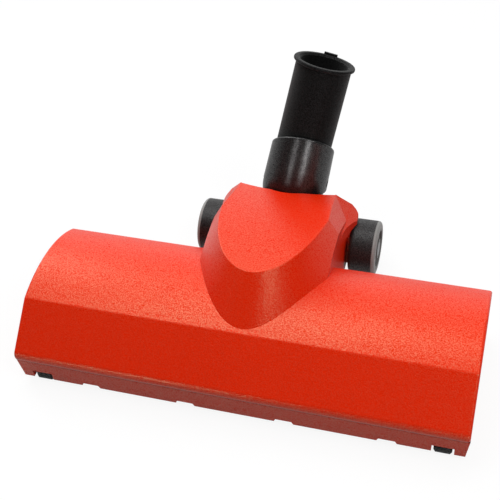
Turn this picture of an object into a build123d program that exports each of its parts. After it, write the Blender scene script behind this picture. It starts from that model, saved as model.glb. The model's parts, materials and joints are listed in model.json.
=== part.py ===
from build123d import *
from math import cos, pi, radians, sin, tan
import os

# Vacuum floor brush head with an air turbine that drives a bristle roll through a toothed belt.
# Millimetres. x runs across the head, y from the front parting line to the rear, z up from the floor.
# The finished pieces are moved along y so that the origin is the middle of the footprint.

# Fits and clearances
clear = 0.3
run_fit = 0.05

# Head: side profile as (y, z) points and the width across the ends
head_width = 285.0
wall = 2.5
sole_z = 4.0
parting_z = 20.6
front_foot_y = 1.5
nose = (-2.05, 25.0)
slope_foot = (0.3, 29.25)
crease = (26.2, 50.6)
crown = (63.0, 55.6)
rear_edge = (100.6, 42.8)
rear_parting_y = 103.5
rear_foot_y = 102.0
crease_round = 4.0
end_round = 1.8
lower_end_draft = 1.8

# Hood over the turbine: a leaning cone between two levels, its upright sides, its top line and its rear
hood_low_z = 50.0
hood_low_half = 47.0
hood_low_front_y = 27.4
hood_high_z = 80.0
hood_high_half = 30.4
hood_high_front_y = 58.4
hood_centre_y = 115.0
hood_taper_angle = 12.0
hood_side_half = 42.0
hood_edge_round = 0.8
hood_top_front = (45.0, 75.64)
hood_top_middle = (100.0, 73.2)
hood_top_rear = (156.0, 59.6)
hood_rear_y = 144.0
hood_rear_z = 63.5
hood_rear_radius = 133.0
hood_rear_angle = 19.0

# Neck joint: the drum tilts about x, the elbow swivels in the drum and is bent
tilt_axis_y = 149.5
tilt_axis_z = 39.4
swivel_lean = 45.0
swivel_reach = 19.4
neck_bend = 26.0
neck_turn_angle = 24.3
drum_radius = 18.0
drum_middle_half = 20.0
drum_end_radius = 13.0
drum_half = 32.5
trunnion_radius = 5.0
trunnion_length = 7.0
trunnion_boss_wall = 2.5
neck_room = 1.7
drum_lip = 9.2
drum_cut_margin = 6.0
drum_flat = 15.0
ball_radius = 21.3
spigot_radius = 15.0
spigot_wall = 2.5
washer_thickness = 1.0
washer_width = 2.6
ring_thickness = 2.0
ring_width = 2.4

# Neck: collar of the elbow and the wand tube plugged into it
collar_foot_radius = 22.2
collar_foot_z = 2.4
collar_top_radius = 21.3
collar_length = 29.8
collar_lean_angle = 1.4
collar_slant_angle = 32.0
collar_slant_turn_angle = 15.0
collar_top_round = 1.2
tube_radius = 18.6
tube_fit = 0.1
tube_seat = 4.0
neck_length = 89.5
socket_radius = 16.1
socket_depth = 42.0
tube_bore_radius = 14.8
rim_radius = 20.5
rim_height = 2.2
rim_edge_flat = 0.4
rim_lead_in = 1.4
rim_tab_width = 9.0
rim_tab_height = 1.4
rim_tab_depth = 2.0
snap_hole_radius = 2.5
snap_height = 8.5
snap_play = 0.3
snap_reach = 1.4
snap_root = 1.0

# Bristle roll
roll_y = 34.0
roll_z = 22.5
tip_radius = 22.0
core_radius = 12.0
roll_end_gap = 9.0
roll_shaft_radius = 3.0
end_cap_radius = 13.4
end_cap_thickness = 3.0
bush_radius = 7.0
bush_length = 7.0
tuft_root_radius = 1.7
tuft_tip_radius = 2.5
tuft_pitch = 8.6
tuft_end_margin = 6.0
tuft_twist_angle = 150.0
tuft_rows = 2
tuft_embed = 1.5

# Toothed belt
belt_pitch = 3.0
belt_width = 7.0
belt_thickness = 1.4
belt_x = 31.5
belt_side_gap = 0.6
pinion_teeth = 12
roll_teeth = 24
tooth_depth = 1.0

# Turbine
turbine_y = 93.0
turbine_z = 45.0
turbine_radius = 21.0
turbine_left = -25.0
turbine_right = 21.0
turbine_hub_radius = 6.5
turbine_blades = 11
blade_thickness = 1.2
blade_belly = 3.4
turbine_disc = 1.6
turbine_shaft_radius = 2.5
bearing_radius = 5.5
bearing_length = 4.0
chamber_gap = 1.5
chamber_wall = 2.0
chamber_end = 4.0
inlet_low_z = 26.0
inlet_high_z = 38.0
duct_half = 17.0
duct_low_z = 28.0
duct_high_z = 54.0
duct_rear_y = 126.0

# Sole, brush window and tail
floor_z = 6.5
floor_thickness = 2.2
sole_thickness = 2.0
sole_edge_gap = 0.4
window_front_y = 9.0
window_rear_y = 64.0
window_end_step = 5.0
window_margin = 1.5
bridge_width = 13.0
tail_half = 38.0
tail_floor_z = 8.0
tail_rear_y = 162.0
tail_wall_top_z = 24.0
tail_rear_top_z = 17.0

# Front edge notches and front rollers
notch_pitch = 63.05
notch_pairs = 2
notch_width = 10.0
notch_height = 2.4
notch_flare = 1.6
roller_end_distance = 15.0
roller_y = 6.5
roller_radius = 4.5
roller_width = 11.0
roller_bevel = 1.2
roller_pin_radius = 1.25
roller_pin_grip = 2.5
pocket_gap = 1.2

# Rear wheels
wheel_y = 148.0
wheel_radius = 19.0
wheel_outer_x = 63.0
wheel_width = 18.5
tyre_thickness = 4.5
tyre_round = 2.4
hub_recess = 1.6
hub_rim = 1.8
axle_radius = 3.0
axle_head_radius = 5.0
axle_head_height = 1.2
ear_outer_x = 47.5
ear_front_y = 118.0
ear_rear_y = 156.5
ear_top_z = 42.0
ear_lift = 1.0
axle_boss_gap = 0.5
axle_boss_half = 7.0
axle_boss_bottom_z = 8.0
ear_crest = (33.2, 62.2)
ear_round = 3.0

# Screws
screw_radius = 1.6
screw_head_radius = 3.2
screw_head_height = 1.6
screw_length = 9.0
screw_end_distance = 10.5
screw_end_y = 72.0
screw_inner_x = 70.0
screw_inner_y = 90.0
boss_wall = 2.2

# Worked out from the sizes above
head_half = head_width / 2
core_half = head_half - wall - bush_length - roll_end_gap
window_half = core_half - window_end_step
roller_x = head_half - roller_end_distance
notch_places = [notch_pitch * (step + 0.5) for step in range(notch_pairs)]
screw_end_x = head_half - screw_end_distance
screw_places = ((-screw_end_x, screw_end_y), (screw_end_x, screw_end_y),
                (-screw_inner_x, screw_inner_y), (screw_inner_x, screw_inner_y))
roll_pitch_radius = roll_teeth * belt_pitch / (2 * pi)
pinion_pitch_radius = pinion_teeth * belt_pitch / (2 * pi)
wheel_inner_x = wheel_outer_x - wheel_width
ear_bottom_z = 2 * wheel_radius + ear_lift
cheek_inner = hood_side_half - wall
swivel_axis = Vector(0, sin(radians(swivel_lean)), cos(radians(swivel_lean)))
drum_centre = Vector(0, tilt_axis_y, tilt_axis_z)
ball_centre = drum_centre + swivel_axis * swivel_reach
spigot_end = drum_flat + washer_thickness + clear + ring_thickness


def neck_direction(turn):
    """Axis of the neck with the elbow turned by so many degrees from its upright bend."""
    upright = Vector(0, -swivel_axis.Z, swivel_axis.Y)
    sideways = Vector(1, 0, 0)
    bend = radians(neck_bend)
    across = upright * cos(radians(turn)) + sideways * sin(radians(turn))
    return swivel_axis * cos(bend) + across * sin(bend)


neck_plane = Plane(ball_centre, x_dir=(1, 0, 0), z_dir=neck_direction(neck_turn_angle))
swivel_plane = Plane(drum_centre, x_dir=(1, 0, 0), z_dir=swivel_axis)


def side_face(*edges):
    """Closed outline drawn in the side view, as (y, z)."""
    return Plane.YZ * make_face(list(edges))


def polygon_side(*points):
    return Plane.YZ * make_face(Polyline(*points, close=True))


def block(x, y, z):
    """Box between pairs of limits."""
    size = [high - low for low, high in (x, y, z)]
    place = [(high + low) / 2 for low, high in (x, y, z)]
    return Pos(*place) * Box(*size)


def rod(x_from, x_to, y, z, radius):
    """Cylinder along x."""
    length = x_to - x_from
    return Pos((x_from + x_to) / 2, y, z) * Rot(0, 90, 0) * Cylinder(radius, length)


def across(face, half):
    """Side view face drawn out to so much on both sides of the middle."""
    return extrude(Pos(-half, 0, 0) * face, amount=2 * half)


def both_sides(shape):
    return shape + mirror(shape, about=Plane.YZ)


# Head and hood

def round_corner(face, point, radius):
    corner = face.vertices().sort_by_distance(Vector(0, *point))[0]
    return fillet(corner, radius)


def upper_profile():
    """Side view of the head above the parting line."""
    face = side_face(
        ThreePointArc((0, parting_z), nose, slope_foot),
        Line(slope_foot, crease),
        ThreePointArc(crease, crown, rear_edge),
        Line(rear_edge, (rear_parting_y, parting_z)),
        Line((rear_parting_y, parting_z), (0, parting_z)),
    )
    return round_corner(face, crease, crease_round)


def lower_profile():
    """Side view of the head below the parting line."""
    return polygon_side(
        (front_foot_y, sole_z), (0, parting_z), (rear_parting_y, parting_z), (rear_foot_y, sole_z))


def upper_outside():
    body = across(upper_profile(), head_half)
    for end_x in (-head_half, head_half):
        end = body.edges().filter_by(Plane.YZ).filter_by_position(Axis.X, end_x - clear, end_x + clear)
        visible = end.filter_by(lambda edge: edge.center().Z > parting_z + clear)
        body = fillet(visible.sort_by(Axis.Y)[:-1], end_round)
    return body


def lower_outside():
    body = across(lower_profile(), head_half)
    foot_half = head_half - lower_end_draft
    corners = ((-foot_half, sole_z), (foot_half, sole_z), (head_half, parting_z), (-head_half, parting_z))
    front = Polyline(*corners, close=True)
    return body & extrude(Plane.XZ * make_face(front), amount=-2 * rear_parting_y, both=True)


def head_inside():
    """Space in the head above and below the parting line."""
    whole = upper_profile() + lower_profile()
    inner = offset(whole, amount=-wall, kind=Kind.INTERSECTION)
    return across(inner, head_half - wall)


def hood_section(z, inset):
    """Plan of the hood at a height: half an ellipse in front, sides that draw in to the rear."""
    share = (z - hood_low_z) / (hood_high_z - hood_low_z)
    half = hood_low_half + share * (hood_high_half - hood_low_half) - inset
    front = hood_low_front_y + share * (hood_high_front_y - hood_low_front_y) + inset
    rear_half = half - (tail_rear_y - hood_centre_y) * tan(radians(hood_taper_angle))
    outline = [
        EllipticalCenterArc((0, hood_centre_y), half, hood_centre_y - front, 180, arc_size=180),
        Line((half, hood_centre_y), (rear_half, tail_rear_y)),
        Line((rear_half, tail_rear_y), (-rear_half, tail_rear_y)),
        Line((-rear_half, tail_rear_y), (-half, hood_centre_y)),
    ]
    return Plane.XY.offset(z) * make_face(outline)


def hood_under_top(drop):
    """Space under the hood's top line, lowered by drop."""
    front_y = hood_low_front_y - wall
    front, middle, rear = ((y, z - drop) for y, z in (hood_top_front, hood_top_middle, hood_top_rear))
    rear_y = 2 * hood_top_rear[0] - hood_top_middle[0]
    rear_z = 2 * rear[1] - middle[1]
    face = side_face(
        Line((front_y, parting_z), (front_y, front[1])),
        Line((front_y, front[1]), front),
        ThreePointArc(front, middle, rear),
        Line(rear, (rear_y, rear_z)),
        Line((rear_y, rear_z), (rear_y, parting_z)),
        Line((rear_y, parting_z), (front_y, parting_z)),
    )
    return across(face, head_half)


def hood_form(inset):
    """Hood filled in, with so much taken off its outside."""
    side = hood_side_half - inset
    cone = loft([hood_section(hood_low_z, inset), hood_section(hood_high_z, inset)], ruled=True)
    below = extrude(hood_section(hood_low_z, inset), amount=parting_z - hood_low_z)
    cheeks = block((-side, side), (rear_parting_y - wall, tail_rear_y), (parting_z, hood_low_z))
    between = block((-side, side), (0, tail_rear_y), (parting_z, hood_high_z))
    return (cone + below + cheeks) & between & hood_under_top(inset)


def hood_outside():
    body = hood_form(0)
    top = body.faces().filter_by(GeomType.CYLINDER).sort_by(SortBy.AREA)[-1]
    return fillet(top.edges().filter_by(GeomType.BSPLINE), hood_edge_round)


def hood_rear_room():
    """Space behind the hood, whose leaning rear is hollow round the neck."""
    lean = radians(hood_rear_angle)
    down = Vector(0, sin(lean), -cos(lean))
    back = Vector(0, cos(lean), sin(lean))
    centre = Vector(0, hood_rear_y, hood_rear_z) + back * hood_rear_radius
    return Plane(centre, x_dir=(1, 0, 0), z_dir=down) * Cylinder(hood_rear_radius, 4 * hood_high_z)


def ball(radius):
    """Sphere at the elbow's ball, with its poles on the swivel axis."""
    return swivel_plane * Pos(0, 0, swivel_reach) * Sphere(radius)


def neck_sweep():
    """Space that the neck and its ball need in the hood's rear edge."""
    room = ball(ball_radius + neck_room)
    for turn in (-neck_turn_angle, 0, neck_turn_angle):
        plane = Plane(ball_centre, x_dir=(1, 0, 0), z_dir=neck_direction(turn))
        room += plane * Pos(0, 0, neck_length / 2) * Cylinder(ball_radius + neck_room + clear, neck_length)
    return room


def wheel_ear():
    """Flare that swings out from the hood's side over the wheel, under a slanted top."""
    plan = make_face([
        Line((drum_half, ear_front_y), (hood_side_half, ear_front_y)),
        TangentArc((hood_side_half, ear_front_y), (ear_outer_x, wheel_y), tangent=(0, 1)),
        Line((ear_outer_x, wheel_y), (ear_outer_x, ear_rear_y)),
        Line((ear_outer_x, ear_rear_y), (drum_half, ear_rear_y)),
        Line((drum_half, ear_rear_y), (drum_half, ear_front_y)),
    ])
    upright = Pos(0, 0, ear_bottom_z) * extrude(plan, amount=hood_high_z)
    rear_edge_place = Vector(ear_outer_x, ear_rear_y, ear_bottom_z)
    upright = fillet(upright.edges().filter_by(Axis.Z).sort_by_distance(rear_edge_place)[0], ear_round)
    front_view = Polyline((drum_half, 0), (ear_outer_x, 0), (ear_outer_x, ear_top_z), ear_crest,
                          (drum_half, ear_crest[1]), close=True)
    return upright & extrude(Plane.XZ * make_face(front_view), amount=2 * tail_rear_y, both=True)


def axle_boss():
    """Skirt below the hood's side with the block that holds the wheel's axle."""
    outer = wheel_inner_x - axle_boss_gap
    front = wheel_y - axle_boss_half
    rear = wheel_y + axle_boss_half
    height = (axle_boss_bottom_z, ear_bottom_z)
    boss = block((cheek_inner, outer), (front, rear), height)
    boss += block((cheek_inner, hood_side_half), (rear_parting_y + clear, rear), height)
    corner = Vector(outer, rear, axle_boss_bottom_z)
    return fillet(boss.edges().filter_by(Axis.X).sort_by_distance(corner)[0], ear_round)


def trunnion_boss():
    inner_x = drum_half + clear
    boss_radius = trunnion_radius + trunnion_boss_wall
    return rod(inner_x, cheek_inner + wall / 2, tilt_axis_y, tilt_axis_z, boss_radius)


def roll_end_rib():
    """Rib under the head's top that holds a roll bush down."""
    outer = head_half - wall / 2
    top_z = slope_foot[1] + bush_radius
    return block((outer - bush_length, outer), (roll_y - bush_radius, roll_y + bush_radius),
                 (roll_z + bush_radius + clear, top_z + bush_radius))


def screw_boss(place, low_z, high_z):
    radius = screw_radius + boss_wall
    return Pos(*place, (low_z + high_z) / 2) * Cylinder(radius, high_z - low_z)


def upper_housing():
    outside = upper_outside()
    hollow = head_inside()
    shell = outside + hood_outside() + both_sides(wheel_ear() + axle_boss()) - hollow - hood_form(wall)
    shell += both_sides(trunnion_boss())
    ribs = both_sides(roll_end_rib()) & outside
    shell += ribs
    for place in screw_places:
        boss = screw_boss(place, floor_z + floor_thickness + screw_length, crown[1]) & hollow
        shell += boss
    shell -= hood_rear_room()
    shell -= neck_sweep()
    bore = trunnion_radius + run_fit
    shell -= rod(-cheek_inner - wall, cheek_inner + wall, tilt_axis_y, tilt_axis_z, bore)
    shell -= rod(-ear_outer_x, ear_outer_x, wheel_y, wheel_radius, axle_radius)
    return shell


# Lower housing, sole and tail

def brush_window(margin, low_z, high_z):
    half = window_half + margin
    return block((-half, half), (window_front_y - margin, window_rear_y + margin), (low_z, high_z))


def edge_notch(x):
    """Notch with slanted sides in the lower front edge."""
    half = notch_width / 2
    outline = Polyline((-half - notch_flare, -1), (half + notch_flare, -1), (half, notch_height),
                       (-half, notch_height), close=True)
    face = Plane.XZ * Pos(x, sole_z) * make_face(outline)
    return extrude(face, amount=-(front_foot_y + 2 * wall), both=True)


def roller_pocket():
    half = roller_width / 2 + pocket_gap
    reach = roller_radius + pocket_gap
    return block((roller_x - half, roller_x + half), (-2 * wall, roller_y + reach), (0, roller_z() + reach))


def roller_z():
    return roller_radius


def roller_pin_body(radius):
    half = roller_width / 2 + pocket_gap + roller_pin_grip
    return rod(roller_x - half, roller_x + half, roller_y, roller_z(), radius)


def roller_cheeks():
    """Solid corner in which a front roller's pocket is cut."""
    half = roller_width / 2 + pocket_gap + roller_pin_grip + wall
    reach = roller_radius + pocket_gap + wall
    return block((roller_x - half, roller_x + half), (front_foot_y, roller_y + reach),
                 (sole_z, roller_z() + reach))


def roll_saddle():
    """Block in the head's end that a roll bush lies in."""
    outer = head_half - wall
    return block((outer - bush_length, outer), (roll_y - bush_radius - wall, roll_y + bush_radius + wall),
                 (floor_z, roll_z))


def lower_head_shell():
    """Lower walls with a floor between them, open below the floor for the sole plate."""
    outside = lower_outside()
    inner_half = head_half - wall - lower_end_draft
    hollow = block((-inner_half, inner_half), (front_foot_y + wall, rear_foot_y - wall), (0, 2 * parting_z))
    floor = block((-head_half, head_half), (front_foot_y, rear_foot_y), (floor_z, floor_z + floor_thickness))
    return outside - hollow + (floor & outside)


def tail_tub():
    inner = tail_half - wall
    outside = block((-tail_half, tail_half), (rear_foot_y - wall, tail_rear_y),
                    (tail_floor_z, tail_wall_top_z))
    rear_cut = block((-inner, inner), (rear_foot_y, tail_rear_y + 1), (tail_rear_top_z, tail_wall_top_z + 1))
    hollow = block((-inner, inner), (rear_foot_y - 2 * wall, tail_rear_y - wall),
                   (tail_floor_z + wall, tail_wall_top_z + 1))
    return outside - hollow - rear_cut


def turbine_rest():
    """Two ribs on the floor that the turbine chamber stands on."""
    bottom = turbine_z - turbine_radius - chamber_gap - chamber_wall
    ribs = Part()
    for x in (turbine_left, turbine_right - wall):
        ribs += block((x, x + wall), (turbine_y - turbine_radius / 2, turbine_y + turbine_hub_radius),
                      (floor_z, turbine_z))
    room = rod(-head_half, head_half, turbine_y, turbine_z, turbine_z - bottom)
    return ribs - room


def lower_housing():
    shell = lower_head_shell()
    inner = tail_half - wall
    shell -= block((-inner, inner), (rear_foot_y - 2 * wall, rear_parting_y + wall),
                   (tail_floor_z + wall, parting_z + 1))
    shell += tail_tub()
    shell += both_sides(roller_cheeks() & lower_outside())
    shell += both_sides(roll_saddle())
    shell += turbine_rest()
    for place in screw_places:
        shell += screw_boss(place, floor_z, floor_z + floor_thickness + screw_length)
    shell -= brush_window(window_margin, 0, floor_z + 2 * floor_thickness)
    shell -= both_sides(roller_pocket())
    shell -= both_sides(roller_pin_body(roller_pin_radius))
    shell -= rod(-head_half + wall, head_half - wall, roll_y, roll_z, bush_radius)
    for x in notch_places:
        shell -= both_sides(edge_notch(x))
    for place in screw_places:
        shell -= Pos(*place, floor_z) * Cylinder(screw_radius, 4 * screw_length)
    return shell


def sole_plate():
    gap = wall + sole_edge_gap
    half = head_half - lower_end_draft - gap
    plate = block((-half, half), (front_foot_y + gap, rear_foot_y - gap), (floor_z - sole_thickness, floor_z))
    plate -= brush_window(0, 0, 2 * floor_z)
    half = bridge_width / 2
    plate += block((belt_x - half, belt_x + half), (window_front_y - wall, window_rear_y + wall),
                   (floor_z - sole_thickness, floor_z))
    corner = roller_cheeks()
    room = corner.bounding_box()
    plate -= both_sides(block((room.min.X - sole_edge_gap, head_half), (0, room.max.Y + sole_edge_gap),
                              (0, 2 * floor_z)))
    for place in screw_places:
        plate -= Pos(*place) * screw_head(clear)
        plate -= Pos(*place, floor_z) * Cylinder(screw_radius + clear, 4 * sole_thickness)
    return plate


def screw_head(gap):
    """Countersunk head flush with the sole, so much larger all round."""
    head_z = floor_z - sole_thickness
    cone = Cone(screw_head_radius + gap, screw_radius + gap, screw_head_height)
    return Pos(0, 0, head_z + screw_head_height / 2) * cone


def housing_screws():
    screws = []
    for place in screw_places:
        shank_low = floor_z - sole_thickness
        shank_top = floor_z + screw_length
        shank = Pos(*place, (shank_low + shank_top) / 2) * Cylinder(screw_radius, shank_top - shank_low)
        screws.append(Pos(*place) * screw_head(0) + shank)
    return Compound(screws)


# Bristle roll

def belt_zone():
    return belt_width / 2 + belt_side_gap


def toothed_pulley(teeth, x_from, x_to, y, z):
    """Toothed cylinder along x whose tooth tips lie on the belt's pitch circle."""
    tip = teeth * belt_pitch / (2 * pi)
    root_cut = belt_pitch / 4
    face = Circle(tip) - PolarLocations(tip, teeth) * Rectangle(2 * tooth_depth, 2 * root_cut)
    return Pos(x_from, y, z) * (Plane.YZ * extrude(face, amount=x_to - x_from))


def roll_core():
    low = belt_x - belt_zone()
    high = belt_x + belt_zone()
    core = rod(-core_half, low, roll_y, roll_z, core_radius)
    core += toothed_pulley(roll_teeth, low, high, roll_y, roll_z)
    core += rod(high, core_half, roll_y, roll_z, core_radius)
    return core - rod(-head_half, head_half, roll_y, roll_z, roll_shaft_radius)


def tuft(x, turn):
    """One bristle tuft, flaring towards its tips."""
    length = tip_radius - core_radius + tuft_embed
    place = Pos(x, roll_y, roll_z) * Rot(turn, 0, 0)
    tuft = Cone(tuft_root_radius, tuft_tip_radius, length)
    return place * Pos(0, 0, core_radius - tuft_embed + length / 2) * tuft


def bristle_row(row):
    """Tufts of one row: two helices that meet at the middle like a chevron."""
    tufts = []
    count = int((core_half - tuft_end_margin) / tuft_pitch)
    for side in (-1, 1):
        for step in range(count):
            x = side * (step + 0.5) * tuft_pitch
            if abs(x - belt_x) < belt_zone() + 2 * tuft_tip_radius:
                continue
            turn = row * 360 / tuft_rows + tuft_twist_angle * abs(x) / core_half
            tufts.append(tuft(x, turn) - rod(x - tuft_pitch, x + tuft_pitch, roll_y, roll_z, core_radius))
    return Compound(tufts)


def roll_shaft():
    end = head_half - wall - clear
    return rod(-end, end, roll_y, roll_z, roll_shaft_radius)


def roll_end_cap(side):
    cap = rod(core_half, core_half + end_cap_thickness, roll_y, roll_z, end_cap_radius)
    cap -= rod(0, head_half, roll_y, roll_z, roll_shaft_radius)
    return cap if side > 0 else mirror(cap, about=Plane.YZ)


def roll_bush(side):
    outer = head_half - wall
    bush = rod(outer - bush_length, outer, roll_y, roll_z, bush_radius)
    bush -= rod(0, head_half, roll_y, roll_z, roll_shaft_radius + run_fit)
    return bush if side > 0 else mirror(bush, about=Plane.YZ)


# Belt and turbine

def belt_loop(extra):
    """Filled outline of the belt, so much outside the two pitch circles."""
    circles = Pos(roll_y, roll_z) * Circle(roll_pitch_radius + extra)
    circles += Pos(turbine_y, turbine_z) * Circle(pinion_pitch_radius + extra)
    return make_hull(circles.edges())


def drive_belt():
    loop = belt_loop(clear + belt_thickness) - belt_loop(clear)
    return Pos(belt_x - belt_width / 2, 0, 0) * extrude(Plane.YZ * loop, amount=belt_width)


def turbine_wheel():
    """Hub with curved blades on both sides of a middle disc."""
    width = turbine_right - turbine_left
    root = (turbine_hub_radius - blade_thickness, 0)
    belly = ((turbine_hub_radius + turbine_radius) / 2, blade_belly)
    arc = ThreePointArc(root, belly, (turbine_radius, 0))
    blade = extrude(trace(arc, line_width=blade_thickness), amount=width)
    wheel = extrude(Circle(turbine_hub_radius), amount=width)
    for step in range(turbine_blades):
        wheel += Rot(0, 0, step * 360 / turbine_blades) * blade
    wheel += Pos(0, 0, (width - turbine_disc) / 2) * extrude(Circle(turbine_radius), amount=turbine_disc)
    wheel = wheel & extrude(Circle(turbine_radius), amount=width)
    wheel -= Cylinder(turbine_shaft_radius, 4 * width)
    return Pos(turbine_left, turbine_y, turbine_z) * (Plane.YZ * wheel)


def chamber_limits():
    """Inner ends of the turbine chamber along x."""
    return turbine_left - chamber_gap, turbine_right + chamber_gap


def turbine_shaft():
    low = chamber_limits()[0]
    return rod(low - chamber_end, belt_x + belt_zone(), turbine_y, turbine_z, turbine_shaft_radius)


def turbine_pinion():
    low = chamber_limits()[1] + chamber_end + clear
    high = belt_x + belt_zone()
    pinion = toothed_pulley(pinion_teeth, low, high, turbine_y, turbine_z)
    return pinion - rod(-head_half, head_half, turbine_y, turbine_z, turbine_shaft_radius)


def turbine_bearing(side):
    low, high = chamber_limits()
    start = high if side > 0 else low - chamber_end
    bearing = rod(start, start + bearing_length, turbine_y, turbine_z, bearing_radius)
    return bearing - rod(-head_half, head_half, turbine_y, turbine_z, turbine_shaft_radius + run_fit)


def turbine_chamber():
    """Drum-shaped case round the turbine with an inlet in front and a duct to the rear."""
    low, high = chamber_limits()
    inner = turbine_radius + chamber_gap
    case = rod(low - chamber_end, high + chamber_end, turbine_y, turbine_z, inner + chamber_wall)
    duct_walls = (duct_half + chamber_wall, duct_low_z - chamber_wall, duct_high_z + chamber_wall)
    case += block((-duct_walls[0], duct_walls[0]), (turbine_y, duct_rear_y), duct_walls[1:])
    case -= rod(low, high, turbine_y, turbine_z, inner)
    case -= block((-duct_half, duct_half), (turbine_y, duct_rear_y + 1), (duct_low_z, duct_high_z))
    case -= block((turbine_left, turbine_right), (turbine_y - 2 * inner, turbine_y),
                  (inlet_low_z, inlet_high_z))
    return case - rod(-head_half, head_half, turbine_y, turbine_z, bearing_radius)


def chamber_half(keep):
    return split(turbine_chamber(), bisect_by=Plane.XY.offset(turbine_z), keep=keep)


# Neck joint and neck

def tilt_drum():
    drum = rod(-drum_half, drum_half, tilt_axis_y, tilt_axis_z, drum_end_radius)
    drum += rod(-drum_middle_half, drum_middle_half, tilt_axis_y, tilt_axis_z, drum_radius)
    reach = drum_half + clear + trunnion_length
    drum += rod(-reach, reach, tilt_axis_y, tilt_axis_z, trunnion_radius)
    drum -= ball(ball_radius + clear)
    above = swivel_reach - drum_lip
    cut = ball_radius + drum_cut_margin
    drum -= swivel_plane * Pos(0, 0, above + drum_radius) * Cylinder(cut, 2 * drum_radius)
    drum -= swivel_plane * Pos(0, 0, -drum_flat - drum_radius) * Cylinder(cut, 2 * drum_radius)
    return drum - swivel_plane * Cylinder(spigot_radius + run_fit, 4 * drum_radius)


def swivel_washer():
    face = Circle(spigot_radius + washer_width) - Circle(spigot_radius + clear)
    return swivel_plane * Pos(0, 0, -drum_flat - washer_thickness) * extrude(face, amount=washer_thickness)


def swivel_ring():
    face = Circle(spigot_radius + ring_width) - Circle(spigot_radius)
    return swivel_plane * Pos(0, 0, -spigot_end) * extrude(face, amount=ring_thickness)


def snap_pin(radius, from_radius, to_radius):
    """Radial peg on both sides of the neck."""
    pins = Part()
    length = to_radius - from_radius
    for side in (-1, 1):
        middle = side * (from_radius + to_radius) / 2
        pins += neck_plane * Pos(middle, 0, snap_height) * Rot(0, 90, 0) * Cylinder(radius, length)
    return pins


def slanted_collar():
    """Tapered collar, leaning a little from z, whose top is cut at a slant, higher in front."""
    rise = collar_length - collar_foot_z
    full_radius = 2 * collar_top_radius - collar_foot_radius
    lean = Rot(0, -collar_lean_angle, 0)
    seam_to_rear = Rot(0, 0, 90)
    cone = Cone(collar_foot_radius, full_radius, 2 * rise)
    cone = Pos(0, 0, collar_length) * lean * seam_to_rear * cone
    slant = radians(collar_slant_angle)
    turn = radians(collar_slant_turn_angle)
    top = Plane((0, 0, collar_length), z_dir=(-sin(slant) * sin(turn), sin(slant) * cos(turn), cos(slant)))
    collar = split(cone, bisect_by=top, keep=Keep.BOTTOM)
    top_edge = collar.edges().sort_by_distance(Vector(0, 0, collar_length))[0]
    return fillet(top_edge, collar_top_round)


def neck_elbow():
    elbow = neck_plane * slanted_collar()
    elbow += ball(ball_radius)
    length = swivel_reach + spigot_end
    spigot = swivel_plane * Pos(0, 0, swivel_reach - length / 2)
    elbow += spigot * Cylinder(spigot_radius, length)
    elbow -= ball(tube_bore_radius + clear)
    elbow -= spigot * Cylinder(spigot_radius - spigot_wall, length)
    seat = neck_length
    elbow -= neck_plane * Pos(0, 0, seat / 2 - tube_seat) * Cylinder(tube_radius + tube_fit, seat)
    return elbow - snap_pin(snap_hole_radius, tube_radius - snap_root, 2 * ball_radius)


def neck_tube():
    base = Pos(0, 0, -tube_seat)
    length = neck_length + tube_seat
    tube = base * extrude(Circle(tube_radius), amount=length)
    rim = Pos(0, 0, neck_length - rim_height) * extrude(Circle(rim_radius), amount=rim_height)
    tube += fillet(rim.edges().filter_by(GeomType.CIRCLE), (rim_height - rim_edge_flat) / 2)
    tube -= base * extrude(Circle(tube_bore_radius), amount=length)
    tube -= Pos(0, 0, neck_length - socket_depth) * extrude(Circle(socket_radius), amount=socket_depth)
    lead = Pos(0, 0, neck_length - rim_lead_in / 2)
    tube -= lead * Cone(socket_radius, socket_radius + rim_lead_in, rim_lead_in)
    tab_y = (socket_radius + rim_lead_in + rim_radius) / 2
    tube += Pos(0, tab_y, neck_length + rim_tab_height / 2 - rim_height / 4) * Box(
        rim_tab_width, rim_tab_depth, rim_tab_height + rim_height / 2)
    pegs = snap_pin(snap_hole_radius - snap_play, tube_radius - snap_root, tube_radius + snap_reach)
    return neck_plane * tube + pegs


# Wheels and rollers

def wheel_profile_place(side):
    return Pos(side * wheel_outer_x, wheel_y, wheel_radius) * Rot(0, side * -90, 0)


def wheel_tyre(side):
    ring = Circle(wheel_radius) - Circle(wheel_radius - tyre_thickness)
    tyre = extrude(ring, amount=wheel_width)
    outer = tyre.edges().filter_by(GeomType.CIRCLE).filter_by(lambda e: e.radius > wheel_radius - 0.1)
    return wheel_profile_place(side) * fillet(outer, tyre_round)


def wheel_hub(side):
    hub_radius = wheel_radius - tyre_thickness
    hub = extrude(Circle(hub_radius), amount=wheel_width)
    dish = Circle(hub_radius - hub_rim) - Circle(axle_head_radius + hub_rim)
    hub -= extrude(dish, amount=hub_recess)
    hub -= Pos(0, 0, wheel_width - 3 * hub_recess) * extrude(dish, amount=3 * hub_recess)
    hub -= extrude(Circle(axle_head_radius + clear), amount=axle_head_height + clear)
    return wheel_profile_place(side) * (hub - Cylinder(axle_radius + run_fit, 4 * wheel_width))


def wheel_axle(side):
    inner = cheek_inner
    axle = rod(inner, wheel_outer_x, wheel_y, wheel_radius, axle_radius)
    axle += rod(wheel_outer_x - axle_head_height, wheel_outer_x, wheel_y, wheel_radius, axle_head_radius)
    return axle if side > 0 else mirror(axle, about=Plane.YZ)


def front_roller(side):
    half_width = roller_width / 2
    barrel = rod(roller_x - half_width, roller_x + half_width, roller_y, roller_z(), roller_radius)
    barrel = chamfer(barrel.edges().filter_by(GeomType.CIRCLE), roller_bevel)
    barrel -= roller_pin_body(roller_pin_radius + run_fit)
    return barrel if side > 0 else mirror(barrel, about=Plane.YZ)


def front_roller_pin(side):
    pin = roller_pin_body(roller_pin_radius)
    return pin if side > 0 else mirror(pin, about=Plane.YZ)


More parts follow.
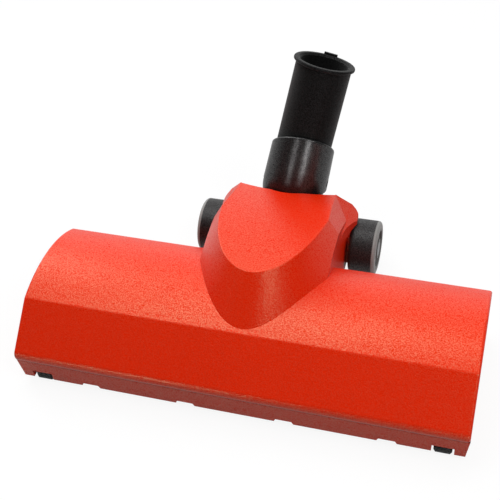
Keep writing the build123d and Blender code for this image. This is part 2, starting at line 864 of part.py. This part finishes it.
def all_pieces():
    pieces = {
        "upper_housing": upper_housing(),
        "lower_housing": lower_housing(),
        "sole_plate": sole_plate(),
        "housing_screws": housing_screws(),
        "roll_core": roll_core(),
        "roll_shaft": roll_shaft(),
        "drive_belt": drive_belt(),
        "turbine_wheel": turbine_wheel(),
        "turbine_shaft": turbine_shaft(),
        "turbine_pinion": turbine_pinion(),
        "turbine_chamber_lower": chamber_half(Keep.BOTTOM),
        "turbine_chamber_upper": chamber_half(Keep.TOP),
        "tilt_drum": tilt_drum(),
        "swivel_washer": swivel_washer(),
        "swivel_ring": swivel_ring(),
        "neck_elbow": neck_elbow(),
        "neck_tube": neck_tube(),
    }
    for row in range(tuft_rows):
        pieces[f"bristle_row_{row + 1}"] = bristle_row(row)
    for name, side in (("left", -1), ("right", 1)):
        pieces[f"roll_end_cap_{name}"] = roll_end_cap(side)
        pieces[f"roll_bush_{name}"] = roll_bush(side)
        pieces[f"turbine_bearing_{name}"] = turbine_bearing(side)
        pieces[f"wheel_tyre_{name}"] = wheel_tyre(side)
        pieces[f"wheel_hub_{name}"] = wheel_hub(side)
        pieces[f"wheel_axle_{name}"] = wheel_axle(side)
        pieces[f"front_roller_{name}"] = front_roller(side)
        pieces[f"front_roller_pin_{name}"] = front_roller_pin(side)
    return pieces


def main():
    os.makedirs("parts", exist_ok=True)
    pieces = all_pieces()
    boxes = [piece.bounding_box() for piece in pieces.values()]
    middle = (min(box.min.Y for box in boxes) + max(box.max.Y for box in boxes)) / 2
    print("middle of the footprint at y =", round(middle, 4))
    for name, piece in pieces.items():
        export_step(Pos(0, -middle, 0) * piece, f"parts/{name}.step")


main()
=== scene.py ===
import json
import math
import random

import bmesh
import bpy
from mathutils import Matrix, Vector


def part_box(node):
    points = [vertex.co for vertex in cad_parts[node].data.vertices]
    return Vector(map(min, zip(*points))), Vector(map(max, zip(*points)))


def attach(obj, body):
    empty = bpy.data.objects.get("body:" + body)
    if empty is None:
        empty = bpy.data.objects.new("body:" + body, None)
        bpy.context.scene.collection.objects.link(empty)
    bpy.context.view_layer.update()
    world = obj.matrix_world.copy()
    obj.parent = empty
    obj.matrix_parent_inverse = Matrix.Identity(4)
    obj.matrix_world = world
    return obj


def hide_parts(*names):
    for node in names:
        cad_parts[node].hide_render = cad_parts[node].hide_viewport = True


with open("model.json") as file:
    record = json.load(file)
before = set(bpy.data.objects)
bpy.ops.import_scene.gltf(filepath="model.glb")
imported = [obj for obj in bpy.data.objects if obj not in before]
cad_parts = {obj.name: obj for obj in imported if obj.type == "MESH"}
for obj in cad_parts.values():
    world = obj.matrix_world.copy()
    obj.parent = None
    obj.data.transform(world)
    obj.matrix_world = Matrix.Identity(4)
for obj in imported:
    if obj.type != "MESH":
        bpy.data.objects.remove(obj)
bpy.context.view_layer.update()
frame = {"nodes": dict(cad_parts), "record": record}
nodes = frame["nodes"]

# Camera fitted to the photograph, in metres
CAMERA_PLACE = Vector((0.14019, -0.45632, 0.50463))
CAMERA_RIGHT = Vector((0.9618, 0.2665, -0.0621))
CAMERA_UP = Vector((-0.1422, 0.6805, 0.7188))
CAMERA_LENS = 72.5
SENSOR_WIDTH = 36.0
CLIP_START = 0.01

# Room: which way it is bright, over which range of that way, and how bright
BRIGHT_WAY = (-0.3, 0.85, 0.43)
BRIGHT_FROM = 0.3
BRIGHT_TO = 0.95
ROOM_DARK = 0.03
ROOM_BRIGHT = 1.15
LIGHT_TARGET = (0.0, 0.0, 0.05)
WHITE = (1.0, 1.0, 1.0, 1.0)

# Floor: its colour to bounced light and to the camera, and its share of plain white
FLOOR_SIZE = 6.0
FLOOR_GREY = (0.4, 0.4, 0.4, 1.0)
FLOOR_PALE = (0.95, 0.95, 0.95, 1.0)
WHITE_WHEN_MIRRORED = 0.45
WHITE_WHEN_SEEN = 0.9

# Plastic: drift of colour, and grain that varies the roughness and the shine
DRIFT_SCALE = 14.0
DRIFT_DETAIL = 3.0
GRAIN_DETAIL = 2.0
FINE_GRAIN = 0.0006
ROUGHNESS_SWING = 0.06
SPARKLE_FROM = 0.35
SPARKLE_TO = 0.65
SPARKLE_LOW = 0.1
SPARKLE_HIGH = 1.9
RED_SHINE = (1.0, 0.94, 0.56)
NECK_SHEEN = 0.12
METAL_DEEPER = 0.9

# Painted shade along the parting line of the housings, and pale shoulder of the tyres
PARTING_HEIGHT = 0.0206
PARTING_HALF_GAP = 0.0006
# Colour of the painted shade in the parting seam
PARTING_SHADE_COLOR = (0.08, 0.003, 0.001, 1.0)
HEAD_BACK = 0.006
SHOULDER_START = 0.0604
SHOULDER_BLEND = 0.0006
SHOULDER_COLOR = (0.26, 0.26, 0.25, 1.0)

# Bristles
FILAMENTS_PER_TUFT = 45
FILAMENT_RADIUS = 0.00016
FILAMENT_SIDES = 4
FOOT_SPREAD = 0.8
TIP_RAGGEDNESS = 0.0009
GOLDEN_TURN = 2.39996


def place_camera():
    right = CAMERA_RIGHT.normalized()
    back = right.cross(CAMERA_UP).normalized()
    up = back.cross(right)
    data = bpy.data.cameras.new("photo_camera")
    data.lens = CAMERA_LENS
    data.sensor_width = SENSOR_WIDTH
    data.clip_start = CLIP_START
    camera = bpy.data.objects.new("photo_camera", data)
    bpy.context.scene.collection.objects.link(camera)
    turn = Matrix((right, up, back)).transposed().to_4x4()
    camera.matrix_world = Matrix.Translation(CAMERA_PLACE) @ turn
    bpy.context.scene.camera = camera


def feed(tree, socket, value):
    """Link an output to a node's input, or set the input to a plain value."""
    if isinstance(value, bpy.types.NodeSocket):
        tree.links.new(value, socket)
    else:
        socket.default_value = value


def new_node(tree, kind, values):
    """Shader node with its inputs, by name or by number, linked or set."""
    made = tree.nodes.new("ShaderNode" + kind)
    for place, value in values.items():
        feed(tree, made.inputs[place], value)
    return made


def calculate(tree, operation, *values):
    made = tree.nodes.new("ShaderNodeMath")
    made.operation = operation
    for socket, value in zip(made.inputs, values):
        feed(tree, socket, value)
    return made.outputs[0]


def map_range(tree, value, start, end, low, high):
    limits = {"From Min": start, "From Max": end, "To Min": low, "To Max": high}
    return new_node(tree, "MapRange", {"Value": value, **limits}).outputs["Result"]


def mix_colors(tree, share, first, second):
    made = tree.nodes.new("ShaderNodeMix")
    made.data_type = "RGBA"
    feed(tree, made.inputs["Factor"], share)
    feed(tree, made.inputs["A"], first)
    feed(tree, made.inputs["B"], second)
    return made.outputs["Result"]


def mix_shaders(tree, share, first, second):
    return new_node(tree, "MixShader", {"Fac": share, 1: first, 2: second}).outputs[0]


def studio_world():
    """White to the camera; to everything else a room that is bright behind and above and dark in front."""
    world = bpy.data.worlds.new("studio")
    world.use_nodes = True
    tree = world.node_tree
    way = tree.nodes.new("ShaderNodeTexCoord").outputs["Generated"]
    toward = new_node(tree, "VectorMath", {0: way, 1: BRIGHT_WAY})
    toward.operation = "DOT_PRODUCT"
    level = map_range(tree, toward.outputs["Value"], BRIGHT_FROM, BRIGHT_TO, ROOM_DARK, ROOM_BRIGHT)
    room = tree.nodes["Background"]
    feed(tree, room.inputs["Color"], level)
    feed(tree, room.inputs["Strength"], 1.0)
    white = new_node(tree, "Background", {"Color": WHITE, "Strength": 1.0})
    seen = tree.nodes.new("ShaderNodeLightPath").outputs["Is Camera Ray"]
    both = mix_shaders(tree, seen, room.outputs[0], white.outputs[0])
    feed(tree, tree.nodes["World Output"].inputs["Surface"], both)
    bpy.context.scene.world = world


def softbox(name, place, size, power, lights=True, mirrors=True):
    data = bpy.data.lights.new(name, "AREA")
    data.shape = "RECTANGLE"
    data.size, data.size_y = size
    data.energy = power
    lamp = bpy.data.objects.new(name, data)
    bpy.context.scene.collection.objects.link(lamp)
    lamp.location = place
    lamp.rotation_euler = (Vector(LIGHT_TARGET) - Vector(place)).to_track_quat("-Z", "Y").to_euler()
    lamp.visible_diffuse = lights
    lamp.visible_glossy = mirrors


def studio_lights():
    """Panels that light the head, and two strips that only show as streaks in glossy pieces."""
    softbox("key_light", (-0.2, 0.12, 1.1), (0.95, 0.45), 4.95)
    softbox("front_panel", (-0.75, -0.3, 0.7), (0.5, 0.5), 1.0, mirrors=False)
    softbox("left_panel", (-0.85, 0.62, 0.85), (0.6, 0.6), 4.0)
    softbox("right_panel", (0.6, -0.3, 0.85), (0.5, 0.5), 5.4)
    softbox("left_strip", (-0.41, -1.13, 0.08), (0.04, 0.34), 2.0, lights=False)
    softbox("right_strip", (0.47, -1.1, 0.08), (0.03, 0.34), 3.2, lights=False)


def pale_floor():
    """Floor that looks white, keeps a faint shadow and sends little light back up."""
    bpy.ops.mesh.primitive_plane_add(size=FLOOR_SIZE)
    floor = bpy.context.object
    floor.name = "floor"
    material = bpy.data.materials.new("floor_white")
    material.use_nodes = True
    tree = material.node_tree
    path = tree.nodes.new("ShaderNodeLightPath")
    seen = path.outputs["Is Camera Ray"]
    paint = mix_colors(tree, seen, FLOOR_GREY, FLOOR_PALE)
    diffuse = new_node(tree, "BsdfDiffuse", {"Color": paint})
    white = tree.nodes.new("ShaderNodeEmission")
    mirrored = calculate(tree, "MULTIPLY", path.outputs["Is Glossy Ray"], WHITE_WHEN_MIRRORED)
    share = calculate(tree, "MULTIPLY_ADD", seen, WHITE_WHEN_SEEN, mirrored)
    both = mix_shaders(tree, share, diffuse.outputs[0], white.outputs[0])
    feed(tree, tree.nodes["Material Output"].inputs["Surface"], both)
    floor.data.materials.append(material)


def plastic(name, color, deep_color, roughness, grain_size, grain_height,
            specular=0.5, shine=(1.0, 1.0, 1.0)):
    """Moulded plastic with a fine eroded grain and a faint drift of colour."""
    material = bpy.data.materials.new(name)
    material.use_nodes = True
    tree = material.node_tree
    shader = tree.nodes["Principled BSDF"]
    place = tree.nodes.new("ShaderNodeTexCoord").outputs["Object"]
    drift = new_node(tree, "TexNoise", {"Vector": place, "Scale": DRIFT_SCALE, "Detail": DRIFT_DETAIL})
    tint = mix_colors(tree, drift.outputs["Fac"], (*deep_color, 1.0), (*color, 1.0))
    noise = new_node(tree, "TexNoise", {"Vector": place, "Scale": 1.0 / grain_size, "Detail": GRAIN_DETAIL})
    grain = noise.outputs["Fac"]
    bump = new_node(tree, "Bump", {"Strength": 1.0, "Distance": grain_height, "Height": grain})
    gloss = map_range(tree, grain, 0.0, 1.0, roughness - ROUGHNESS_SWING, roughness + ROUGHNESS_SWING)
    sparkle = map_range(tree, grain, SPARKLE_FROM, SPARKLE_TO,
                        SPARKLE_LOW * specular, SPARKLE_HIGH * specular)
    feed(tree, shader.inputs["Base Color"], tint)
    feed(tree, shader.inputs["Normal"], bump.outputs["Normal"])
    feed(tree, shader.inputs["Roughness"], gloss)
    feed(tree, shader.inputs["Specular IOR Level"], sparkle)
    feed(tree, shader.inputs["Specular Tint"], (*shine, 1.0))
    return material


def object_place(tree):
    """Outputs X, Y and Z of a point in the part's own frame."""
    place = tree.nodes.new("ShaderNodeTexCoord").outputs["Object"]
    return new_node(tree, "SeparateXYZ", {"Vector": place}).outputs


def paint_over(material, share, color):
    paint = material.node_tree.nodes["Principled BSDF"].inputs["Base Color"]
    coat = mix_colors(material.node_tree, share, paint.links[0].from_socket, color)
    feed(material.node_tree, paint, coat)


def paint_parting_shade(material):
    """Painted shade: a fine dark line with dulled shine where the upper housing sits on the lower one,
    round the head only.
    """
    tree = material.node_tree
    place = object_place(tree)
    level = calculate(tree, "COMPARE", place["Z"], PARTING_HEIGHT, PARTING_HALF_GAP)
    ahead = calculate(tree, "LESS_THAN", place["Y"], HEAD_BACK)
    shade_line = calculate(tree, "MULTIPLY", level, ahead)
    # Painted shade: darken the colour and dull the shine along the parting line
    paint_over(material, shade_line, PARTING_SHADE_COLOR)
    shine = tree.nodes["Principled BSDF"].inputs["Specular IOR Level"]
    dull = new_node(tree, "Mix", {"Factor": shade_line, "A": shine.links[0].from_socket})
    feed(tree, shine, dull.outputs["Result"])


def pale_shoulder(material):
    """Paler plastic on the outer shoulder of a wheel's tyre."""
    tree = material.node_tree
    aside = calculate(tree, "ABSOLUTE", object_place(tree)["X"])
    outer = map_range(tree, aside, SHOULDER_START, SHOULDER_START + SHOULDER_BLEND, 0.0, 1.0)
    paint_over(material, outer, SHOULDER_COLOR)


def metal(name, color, roughness):
    deep_color = tuple(METAL_DEEPER * c for c in color)
    material = plastic(name, color, deep_color, roughness, FINE_GRAIN, 0.00001)
    material.node_tree.nodes["Principled BSDF"].inputs["Metallic"].default_value = 1.0
    return material


def red_plastic():
    material = plastic("red_plastic", (0.77, 0.022, 0.002), (0.72, 0.018, 0.001), 0.3, 0.0008, 0.00014,
                       0.52, RED_SHINE)
    # Painted shade along the parting line of the housings
    paint_parting_shade(material)
    return material


def neck_plastic():
    material = plastic("neck_plastic", (0.002, 0.002, 0.002), (0.001, 0.001, 0.001), 0.55,
                       FINE_GRAIN, 0.00002, 0.1)
    material.node_tree.nodes["Principled BSDF"].inputs["Sheen Weight"].default_value = NECK_SHEEN
    return material


def tyre_two_tone():
    material = plastic("tyre_two_tone", (0.022, 0.021, 0.021), (0.016, 0.015, 0.015), 0.42,
                       FINE_GRAIN, 0.00004, 0.35)
    pale_shoulder(material)
    return material


def slot_materials():
    """Materials by the record's slots; the other slots are black."""
    rubber = plastic("belt_rubber", (0.020, 0.019, 0.019), (0.015, 0.014, 0.014), 0.5,
                     FINE_GRAIN, 0.00004, 0.35)
    pale = plastic("turbine_plastic", (0.7, 0.7, 0.66), (0.62, 0.62, 0.58), 0.4, FINE_GRAIN, 0.00002)
    grey = plastic("hub_plastic", (0.15, 0.15, 0.145), (0.12, 0.12, 0.115), 0.45, FINE_GRAIN, 0.00002)
    return {
        "red_plastic": red_plastic(),
        "neck_plastic": neck_plastic(),
        "tyre": tyre_two_tone(),
        "hub_plastic": grey,
        "belt_rubber": rubber,
        "turbine_plastic": pale,
        "steel": metal("steel", (0.30, 0.30, 0.31), 0.42),
        "bronze": metal("bronze", (0.5, 0.36, 0.18), 0.4),
    }


def dress(name, material):
    mesh = nodes[name].data
    mesh.materials.clear()
    mesh.materials.append(material)


def dress_nodes():
    black = plastic("black_plastic", (0.010, 0.010, 0.010), (0.007, 0.007, 0.007), 0.45,
                    FINE_GRAIN, 0.00003, 0.3)
    collar = plastic("collar_plastic", (0.008, 0.008, 0.008), (0.006, 0.006, 0.006), 0.3,
                     0.0005, 0.00002, 0.6)
    by_slot = slot_materials()
    for row in frame["record"]["subparts"]:
        dress(row["node"], by_slot.get(row["material_slot"], black))
    dress("neck_elbow", collar)


def tuft_points(mesh):
    """The corners of each separate tuft in a bristle row."""
    builder = bmesh.new()
    builder.from_mesh(mesh)
    waiting = set(builder.verts)
    tufts = []
    while waiting:
        front = [waiting.pop()]
        tuft = []
        while front:
            corner = front.pop()
            tuft.append(corner.co.copy())
            near = {edge.other_vert(corner) for edge in corner.link_edges} & waiting
            waiting -= near
            front.extend(near)
        tufts.append(tuft)
    builder.free()
    return tufts


def add_filament(builder, foot, tip, along, across):
    rings = []
    for centre in (foot, tip):
        ring = []
        for side in range(FILAMENT_SIDES):
            angle = math.tau * side / FILAMENT_SIDES
            aside = math.cos(angle) * along + math.sin(angle) * across
            ring.append(builder.verts.new(centre + FILAMENT_RADIUS * aside))
        rings.append(ring)
    for side in range(FILAMENT_SIDES):
        after = (side + 1) % FILAMENT_SIDES
        builder.faces.new((rings[0][side], rings[0][after], rings[1][after], rings[1][side]))
    builder.faces.new(rings[1])
    builder.faces.new(tuple(reversed(rings[0])))


def fill_tuft(builder, points, axis, chance):
    """Filaments that stand within one solid tuft."""
    middle = sum(points, Vector()) / len(points)
    out = Vector((0.0, middle.y - axis.y, middle.z - axis.z)).normalized()
    along = Vector((1.0, 0.0, 0.0))
    across = out.cross(along)
    heights = [(p - middle).dot(out) for p in points]
    reach = 0.5 * (max(p.x for p in points) - min(p.x for p in points)) - FILAMENT_RADIUS
    for count in range(FILAMENTS_PER_TUFT):
        spread = reach * math.sqrt((count + 0.5) / FILAMENTS_PER_TUFT)
        turn = GOLDEN_TURN * count
        beside = spread * (math.cos(turn) * along + math.sin(turn) * across)
        foot = middle + FOOT_SPREAD * beside + min(heights) * out
        tip = middle + beside + (max(heights) - TIP_RAGGEDNESS * chance.random()) * out
        add_filament(builder, foot, tip, along, across)


def bristles(row):
    """Filaments in place of the solid tufts of one row."""
    chance = random.Random(row)
    low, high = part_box("roll_shaft")
    axis = 0.5 * (Vector(low) + Vector(high))
    builder = bmesh.new()
    for points in tuft_points(nodes[row].data):
        fill_tuft(builder, points, axis, chance)
    mesh = bpy.data.meshes.new(row + "_filaments")
    builder.to_mesh(mesh)
    builder.free()
    piece = bpy.data.objects.new(row + "_filaments", mesh)
    bpy.context.scene.collection.objects.link(piece)
    mesh.materials.append(nodes[row].data.materials[0])
    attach(piece, "brush_roll")
    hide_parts(row)


place_camera()
studio_world()
studio_lights()
pale_floor()
dress_nodes()
bristles("bristle_row_1")
bristles("bristle_row_2")
bpy.context.scene.view_settings.view_transform = "Standard"
